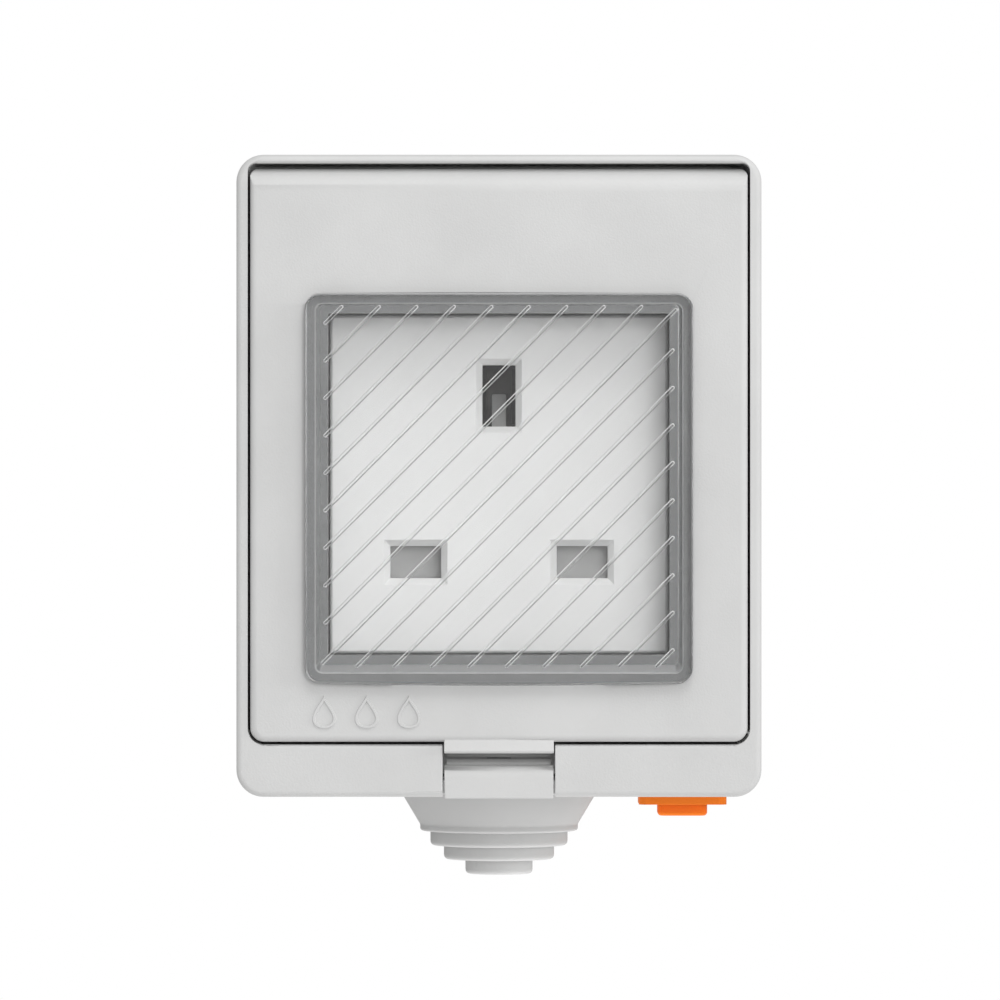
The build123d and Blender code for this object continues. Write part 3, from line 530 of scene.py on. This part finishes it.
def new_tree(name, settings):
    """A node tree with an input for each setting, the sockets of these inputs and the result's node."""
    tree = bpy.data.node_groups.new(name, "GeometryNodeTree")
    tree.interface.new_socket("Geometry", in_out="OUTPUT", socket_type="NodeSocketGeometry")
    for label, (kind, value) in settings.items():
        tree.interface.new_socket(label, in_out="INPUT", socket_type=kind)
    return tree, added(tree, "NodeGroupInput").outputs, added(tree, "NodeGroupOutput")


def copied(tree, points, shape):
    """Copies of a shape on each of the points, as one plain mesh."""
    copies = added(tree, "GeometryNodeInstanceOnPoints", {"Points": points, "Instance": shape})
    real = added(tree, "GeometryNodeRealizeInstances", {"Geometry": copies.outputs["Instances"]})
    return real.outputs["Geometry"]


def coated(tree, shape, finish, selection=True):
    """A shape with a finish on the selected faces."""
    inputs = {"Geometry": shape, "Selection": selection, "Material": finish}
    return added(tree, "GeometryNodeSetMaterial", inputs).outputs["Geometry"]


def grown(name, tree, settings, material):
    """A piece made by a node tree from its named settings, turned into a plain mesh."""
    piece = placed(name, bpy.data.meshes.new(name), material)
    growth = piece.modifiers.new(name, "NODES")
    growth.node_group = tree
    for item in tree.interface.items_tree:
        if item.in_out == "INPUT":
            growth[item.identifier] = settings[item.name][1]
    baked(piece)
    return piece


pattern, given, result = new_tree("screw_pattern", chosen)
corners = {"Size X": given["Across"], "Size Y": given["Up"], "Vertices X": 2, "Vertices Y": 2}
upright = {
    "Geometry": added(pattern, "GeometryNodeMeshGrid", corners).outputs["Mesh"],
    "Translation": given["Centre"],
    "Rotation": (math.radians(90), 0, 0),
}
points = added(pattern, "GeometryNodeTransform", upright).outputs["Geometry"]
source = added(pattern, "GeometryNodeObjectInfo", {"Object": given["Screw"]}).outputs["Geometry"]
four = copied(pattern, points, source)
fed(pattern, result, {"Geometry": coated(pattern, four, given["Finish"])})
screws = grown("case_screws_cross", pattern, chosen, steel)
bpy.data.objects.remove(one_screw)
stands_for(screws, "case_screws", "case")

# Hinge pin and lid: the lid turns on a steel pin at its top edge.
# Grey polycarbonate tray with a finger lip and a catch at its lower edge.
finished("hinge_pin", steel)
softened("lid", "lid", case_plastic)

# Lid mark: three plain droplets raised on the lid below the window.
# Moulded with the lid, as low outlines with sloping sides.
DROP_COUNT = 3
DROP_HEIGHT = 4.5 * MM
DROP_SWELL = 2.3 * MM
DROP_RAISED = 0.24 * MM
DROP_ROOT = 0.05 * MM
DROP_SINK = 0.8 * MM
DROP_PITCH = 5.6 * MM
DROP_FIRST = Vector((-23.1 * MM, -52.6 * MM, -31.2 * MM))
DROP_POINTS = 64
DROP_POINT_SHARP = 1.5
DROP_RINGS = ((1.0, DROP_ROOT), (0.92, -DROP_RAISED), (0.76, -DROP_RAISED), (0.68, DROP_ROOT))

work = bmesh.new()
for drop in range(DROP_COUNT):
    rings = []
    for scale, behind in DROP_RINGS:
        ring = []
        for i in range(DROP_POINTS):
            turn = 2 * math.pi * (i + 0.5) / DROP_POINTS
            x = DROP_SWELL * math.sin(turn) * math.sin(turn / 2) ** DROP_POINT_SHARP
            z = DROP_HEIGHT / 2 * math.cos(turn)
            along = Vector((drop * DROP_PITCH + scale * x, behind, scale * (z + DROP_SINK) - DROP_SINK))
            ring.append(work.verts.new(DROP_FIRST + along))
        rings.append(ring)
    for near, far in zip(rings, rings[1:] + rings[:1]):
        for i in range(DROP_POINTS):
            j = (i + 1) % DROP_POINTS
            work.faces.new((near[i], near[j], far[j], far[i]))
bmesh.ops.recalc_face_normals(work, faces=work.faces)
droplets = settle(placed("lid_droplets", meshed(work, "lid_droplets"), case_plastic))
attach(droplets, "lid")

# Window seal: ring under the window whose skirt meets the lip round the socket.
# Dark grey silicone, moulded.
SEAL_EDGE = 0.05 * MM
softened("window_seal", "lid", seal_rubber, edge=SEAL_EDGE)

# Window: clear plate with a raised rim and a sunk pane that carries slanting ribs.
# Polished clear polycarbonate, bonded to its seal in the lid; its rim and slopes are satin,
# its outer wall is matt and the fine step round the pane is greyed; the rim faces that face up
# take the same milky grey, a painted highlight along the window's top edge.
WINDOW_CORNER = 2.1 * MM
AIR_GAP = 0.05 * MM
WALL_STRAIGHT = 1.4 * MM
WALL_BOWED = 1.3 * MM
BOW = 0.3 * MM
SIDE_STEPS = 10
RIM_ROUND = 0.32 * MM
RIM_TOP_INSET = 1.33 * MM
RIM_TOP_CORNER = 1.0 * MM
STEP_LINE = 0.13 * MM
STEP_FALL = 0.6 * STEP_LINE
STEP_CORNER = 0.95 * MM
PANE_DEPTH = 0.7 * MM
PANE_SIDE_INSET = 1.9 * MM
PANE_TOP_INSET = 1.5 * MM
PANE_LOW_INSET = 2.4 * MM
PANE_CORNER = 0.6 * MM
PANE_FILLET = (0.08 * MM, 0.04 * MM)

window_low, window_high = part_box("lid_window")


def window_loop(left, right, low, high, corner, depth, bow=0.0):
    """A loop set in from each edge of the window, at a depth behind its front, its low side bowed."""
    sides = (window_low.x + left, window_high.x - right, window_low.z + low, window_high.z - high)
    points = []
    for x, z in outline(*sides, corner, SIDE_STEPS):
        if z < (window_low.z + window_high.z) / 2:
            z -= bow * (1 - (2 * x / (window_high.x - window_low.x)) ** 2)
        points.append((x, window_low.y + depth, z))
    return points


thick = window_high.y - window_low.y - AIR_GAP
loops = [window_loop(0, 0, 0, 0, WINDOW_CORNER, thick)]
loops.append(window_loop(0, 0, 0, 0, WINDOW_CORNER, WALL_STRAIGHT))
loops.append(window_loop(0, 0, 0, 0, WINDOW_CORNER, WALL_BOWED, BOW))
for inset, drop in rounding_steps(RIM_ROUND):
    loops.append(window_loop(inset, inset, inset, inset, WINDOW_CORNER - inset, drop, BOW))
rounded = len(loops) - 1
loops.append(window_loop(*[RIM_TOP_INSET] * 4, RIM_TOP_CORNER, 0))
step_line = len(loops) - 1
loops.append(window_loop(*[RIM_TOP_INSET + STEP_LINE] * 4, STEP_CORNER, STEP_FALL))
pane = (PANE_SIDE_INSET, PANE_SIDE_INSET, PANE_LOW_INSET, PANE_TOP_INSET)
loops.append(window_loop(*pane, PANE_CORNER, PANE_DEPTH - PANE_FILLET[1]))
loops.append(window_loop(*[inset + PANE_FILLET[0] for inset in pane], PANE_CORNER, PANE_DEPTH))

WINDOW_TINT = (0.94, 0.942, 0.942)
WINDOW_PASSES = (0.91, 0.912, 0.912)
POLYCARBONATE_IOR = 1.585
MATT_EDGE = (0.30, 0.302, 0.304)
RIB_CLARITY = 0.15
STEP_AND_PAINTED_LIGHT_GREY = (0.42, 0.422, 0.422)


def clear_plastic(name, clarity, roughness, tint=WINDOW_TINT):
    """Clear plastic that lets the lamps' light straight through; what isn't clear is milky."""
    material = bpy.data.materials.new(name)
    material.use_nodes = True
    tree = material.node_tree
    plain = {
        "Base Color": (*tint, 1),
        "Roughness": roughness,
        "IOR": POLYCARBONATE_IOR,
        "Transmission Weight": clarity,
    }
    shader = fed(tree, tree.nodes["Principled BSDF"], plain)
    lamp_ray = added(tree, "ShaderNodeLightPath").outputs["Is Shadow Ray"]
    passing = added(tree, "ShaderNodeBsdfTransparent", {"Color": (*WINDOW_PASSES, 1)})
    ways = {"Fac": lamp_ray, 1: shader.outputs["BSDF"], 2: passing.outputs["BSDF"]}
    either = added(tree, "ShaderNodeMixShader", ways)
    fed(tree, tree.nodes["Material Output"], {"Surface": either.outputs["Shader"]})
    return material


clear = clear_plastic("clear_polycarbonate", clarity=1, roughness=0.02)
satin = clear_plastic("satin_polycarbonate", clarity=1, roughness=0.28)
milky = clear_plastic("milky_polycarbonate", RIB_CLARITY, roughness=0.08)
step_and_painted_top = clear_plastic("step_and_painted_top_polycarbonate", RIB_CLARITY, roughness=0.3, tint=STEP_AND_PAINTED_LIGHT_GREY)
matt_edge = moulded("matt_window_edge", MATT_EDGE, 0.4, mottle=0.03, grain=0.1)

# Window ribs: flat-topped bars across the pane at 45 degrees, one long one and shorter ones
# to each corner, moulded in one with the window; their steep sides come milky from the tool,
# and those facing down and right carry painted shade, a grey tint that fades out at their ends.
RIB_COUNT = 19
RIB_PITCH = 4.95 * MM
RIB_FIELD = 46.7 * MM
RIB_HALF = 0.31 * MM
RIB_TOP_HALF = 0.12 * MM
RIB_HIGH = 0.35 * MM
RIB_ROOT = 0.1 * MM
RIB_CENTRE_LIFT = 0.2 * MM
RIB_DRAW_IN = 0.4 * MM
RIB_END_POINTS = 24
STEEP_BELOW = 0.9
LOWER_ABOVE = 0.9
GREY_REACH = 22.4 * MM
GREY_FADE = 0.5 * MM


def maths(tree, operation, *values):
    """The result of a math node on sockets or plain numbers."""
    return added(tree, "ShaderNodeMath", dict(enumerate(values)), operation=operation).outputs["Value"]


plate_low, plate_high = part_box("socket_plate")
# Painted shade: the rib flanks facing down and to the right get a grey tint over the plate, fading to the
# clear tint beyond its edge, so each rib shows a dark line on its lower side.
shaded_flank = clear_plastic("painted_shade_flank_polycarbonate", RIB_CLARITY, roughness=0.3, tint=STEP_AND_PAINTED_LIGHT_GREY)
tree = shaded_flank.node_tree
from_middle = {0: added(tree, "ShaderNodeTexCoord").outputs["Object"], 1: (plate_low + plate_high) / 2}
offset = added(tree, "ShaderNodeVectorMath", from_middle, operation="SUBTRACT").outputs["Vector"]
apart = added(tree, "ShaderNodeSeparateXYZ", {"Vector": offset}).outputs
sideways, upward = (maths(tree, "ABSOLUTE", apart[axis]) for axis in "XZ")
fading = {
    "Value": maths(tree, "MAXIMUM", sideways, upward),
    "From Min": GREY_REACH,
    "From Max": GREY_REACH + GREY_FADE,
}
fade = added(tree, "ShaderNodeMapRange", fading).outputs["Result"]
colour = ramped(tree, fade, (0, 1), STEP_AND_PAINTED_LIGHT_GREY, WINDOW_TINT)
fed(tree, tree.nodes["Principled BSDF"], {"Base Color": colour})

centre = (window_low + window_high) / 2
pane_face = window_low.y + PANE_DEPTH
chosen = {
    "Count": ("NodeSocketInt", RIB_COUNT),
    "Pitch": ("NodeSocketFloat", RIB_PITCH),
    "Field": ("NodeSocketFloat", RIB_FIELD),
    "Draw In": ("NodeSocketFloat", RIB_DRAW_IN),
    "Half Width": ("NodeSocketFloat", RIB_HALF),
    "Top Half Width": ("NodeSocketFloat", RIB_TOP_HALF),
    "Height": ("NodeSocketFloat", RIB_HIGH + RIB_ROOT),
    "Centre": ("NodeSocketVector", (centre.x, pane_face + RIB_ROOT, centre.z + RIB_CENTRE_LIFT)),
    "Finish": ("NodeSocketMaterial", clear),
    "Side Finish": ("NodeSocketMaterial", milky),
    "Painted Shade Finish": ("NodeSocketMaterial", shaded_flank),
}


def stored(tree, shape, name, value):
    """A shape that keeps a value at each of its points under a name."""
    inputs = {"Geometry": shape, "Name": name, "Value": value}
    keep = added(tree, "GeometryNodeStoreNamedAttribute", inputs, data_type="FLOAT", domain="POINT")
    return keep.outputs["Geometry"]


def recalled(tree, name):
    """The value that each point keeps under a name."""
    read = added(tree, "GeometryNodeInputNamedAttribute", {"Name": name}, data_type="FLOAT")
    return read.outputs["Attribute"]


ribs_tree, given, result = new_tree("window_ribs", chosen)
index = added(ribs_tree, "GeometryNodeInputIndex").outputs["Index"]
middle = maths(ribs_tree, "DIVIDE", maths(ribs_tree, "SUBTRACT", given["Count"], 1), 2)
rank = maths(ribs_tree, "SUBTRACT", index, middle)
shift = maths(ribs_tree, "MULTIPLY", rank, maths(ribs_tree, "DIVIDE", given["Pitch"], 2))
shrink = maths(ribs_tree, "MULTIPLY", maths(ribs_tree, "ABSOLUTE", rank), given["Pitch"])
reach = maths(ribs_tree, "MULTIPLY", maths(ribs_tree, "SUBTRACT", given["Field"], shrink), 0.5)
draw_in = maths(ribs_tree, "MULTIPLY", maths(ribs_tree, "SIGN", rank), given["Draw In"])
across = maths(ribs_tree, "SUBTRACT", shift, draw_in)
up = maths(ribs_tree, "MULTIPLY", maths(ribs_tree, "ADD", shift, draw_in), -1)
spread = added(ribs_tree, "ShaderNodeCombineXYZ", {"X": across, "Z": up}).outputs["Vector"]
about_centre = {0: spread, 1: given["Centre"]}
centred = added(ribs_tree, "ShaderNodeVectorMath", about_centre, operation="ADD").outputs["Vector"]
line = added(ribs_tree, "GeometryNodeMeshLine", {"Count": given["Count"]}).outputs["Mesh"]
put = added(ribs_tree, "GeometryNodeSetPosition", {"Geometry": line, "Position": centred})
points = stored(ribs_tree, put.outputs["Geometry"], "reach", reach)
stub = {
    "Vertices": RIB_END_POINTS,
    "Radius Bottom": given["Half Width"],
    "Radius Top": given["Top Half Width"],
    "Depth": given["Height"],
}
stub = added(ribs_tree, "GeometryNodeMeshCone", stub).outputs["Mesh"]
place = added(ribs_tree, "GeometryNodeInputPosition").outputs["Position"]
away = added(ribs_tree, "ShaderNodeSeparateXYZ", {"Vector": place}).outputs["Y"]
stub = stored(ribs_tree, stub, "end", maths(ribs_tree, "SIGN", away))
slanted = {"Geometry": stub, "Rotation": (math.radians(90), math.radians(45), 0)}
bar = added(ribs_tree, "GeometryNodeTransform", slanted).outputs["Geometry"]
bars = copied(ribs_tree, points, bar)
pull = maths(ribs_tree, "MULTIPLY", recalled(ribs_tree, "end"), recalled(ribs_tree, "reach"))
stretch = added(ribs_tree, "ShaderNodeCombineXYZ", {"X": pull, "Z": pull}).outputs["Vector"]
drawn = added(ribs_tree, "GeometryNodeSetPosition", {"Geometry": bars, "Offset": stretch})
normal = added(ribs_tree, "GeometryNodeInputNormal").outputs["Normal"]
facing = added(ribs_tree, "ShaderNodeSeparateXYZ", {"Vector": normal}).outputs
steep = maths(ribs_tree, "LESS_THAN", maths(ribs_tree, "ABSOLUTE", facing["Y"]), STEEP_BELOW)
# The flanks that face down and to the right take the painted shade finish.
lean = maths(ribs_tree, "SUBTRACT", facing["X"], facing["Z"])
shaded_lower = maths(ribs_tree, "GREATER_THAN", lean, LOWER_ABOVE)
bars = coated(ribs_tree, drawn.outputs["Geometry"], given["Finish"])
bars = coated(ribs_tree, bars, given["Side Finish"], steep)
bars = coated(ribs_tree, bars, given["Painted Shade Finish"], shaded_lower)
fed(ribs_tree, result, {"Geometry": bars})
ribs = grown("window_ribs", ribs_tree, chosen, clear)

MATT, STEP_AND_PAINTED_TOP, SATIN = 1, 2, 3
FACES_UP = 0.4
FACES_FRONT = 0.9
window = placed("lid_window_clear", lofted("lid_window_clear", loops), clear)
for finish in (matt_edge, step_and_painted_top, satin):
    window.data.materials.append(finish)
for face in window.data.polygons:
    band = face.index // len(loops[0])
    on_wall = abs(face.normal.y) < FACES_FRONT and face.center.y > window_low.y + 0.5 * RIM_ROUND
    # The fine step gets the milky grey finish; so do the rim faces that face up, as a painted highlight
    # along the top edge.
    if band == step_line or band < rounded and face.normal.z > FACES_UP:
        face.material_index = STEP_AND_PAINTED_TOP
    elif band < step_line and on_wall:
        face.material_index = MATT
    elif 1 < band < rounded or step_line < band < len(loops) - 1:
        face.material_index = SATIN
combined(window, "ribs_on_pane", "UNION", ribs).material_mode = "TRANSFER"
settle(window, smooth_angle=20)
bpy.data.objects.remove(ribs)
stands_for(window, "lid_window", "lid")

# Latch, its pin and its spring: the plate below the lid that holds the lid's catch.
# Grey polycarbonate plate on a steel pin, with a bent strip of spring steel.
LATCH_EDGE = 0.16 * MM
softened("latch", "latch", case_plastic, edge=LATCH_EDGE)
finished("latch_pin", steel)
finished("latch_spring", spring_steel)

# Studio: pale floor well below the part, white surround and four soft lamps, one above, one beside
# the camera, one to the right and a weak one just above the floor; the camera stands straight in front.
FLOOR_LEVEL = -0.10
FLOOR_HALF = 0.28
FLOOR_GREY = (0.86, 0.86, 0.86)
WHITE = (1, 1, 1, 1)
SURROUND = 0.56
MIRRORED_SURROUND = 0.35
BEFORE_A_BOUNCE = 0.5
work = bmesh.new()
for x, y in ((-1, -1), (1, -1), (1, 1), (-1, 1)):
    work.verts.new((x * FLOOR_HALF, y * FLOOR_HALF, FLOOR_LEVEL))
work.faces.new(work.verts)
floor_paint = moulded("floor_paint", FLOOR_GREY, 0.8, mottle=0.01)
floor = placed("floor", meshed(work, "floor"), floor_paint)
floor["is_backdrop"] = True

world = bpy.data.worlds.new("surround")
bpy.context.scene.world = world
world.use_nodes = True
tree = world.node_tree
ray = added(tree, "ShaderNodeLightPath").outputs
looked_at = maths(tree, "MAXIMUM", ray["Is Camera Ray"], ray["Is Transmission Ray"])
direct = maths(tree, "LESS_THAN", ray["Diffuse Depth"], BEFORE_A_BOUNCE)
dimmed = maths(tree, "MULTIPLY", ray["Is Glossy Ray"], SURROUND - MIRRORED_SURROUND)
level = maths(tree, "SUBTRACT", SURROUND, dimmed)
soft = fed(tree, tree.nodes["Background"], {"Color": WHITE, "Strength": level})
white = added(tree, "ShaderNodeBackground", {"Color": WHITE, "Strength": 1})
sides = {
    "Fac": maths(tree, "MULTIPLY", looked_at, direct),
    1: soft.outputs["Background"],
    2: white.outputs["Background"],
}
choice = added(tree, "ShaderNodeMixShader", sides)
fed(tree, tree.nodes["World Output"], {"Surface": choice.outputs["Shader"]})


def lamp(name, place, size, power, mirrored=True):
    """A square soft lamp that faces the part, kept out of mirror images if asked."""
    data = bpy.data.lights.new(name, "AREA")
    data.size = size
    data.energy = power
    box = bpy.data.objects.new(name, data)
    box.location = place
    box.rotation_euler = (-Vector(place)).to_track_quat("-Z", "Y").to_euler()
    box.visible_camera = False
    box.visible_glossy = mirrored
    bpy.context.scene.collection.objects.link(box)


lamp("top_lamp", (0.08, -0.36, 0.45), size=0.3, power=0.9)
lamp("key_lamp", (0.22, -0.95, 0.13), size=0.28, power=2.1, mirrored=False)
lamp("right_lamp", (0.9, -0.3, 0.1), size=0.3, power=2.0, mirrored=False)
lamp("bounce_lamp", (0.006, -0.014, -0.096), size=0.05, power=0.026, mirrored=False)

CAMERA_PLACE = (0.14 * MM, -1.052, -3.2 * MM)
FOCAL_PIXELS = 7560
PICTURE_PIXELS = 1000
SENSOR_WIDTH = 36
NEAR_CLIP = 0.05
data = bpy.data.cameras.new("camera")
data.sensor_width = SENSOR_WIDTH
data.lens = FOCAL_PIXELS * SENSOR_WIDTH / PICTURE_PIXELS
data.clip_start = NEAR_CLIP
camera = bpy.data.objects.new("camera", data)
camera.location = CAMERA_PLACE
camera.rotation_euler = (math.radians(90), 0, 0)
bpy.context.scene.collection.objects.link(camera)
bpy.context.scene.camera = camera
bpy.context.scene.view_settings.view_transform = "Standard"

low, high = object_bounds()
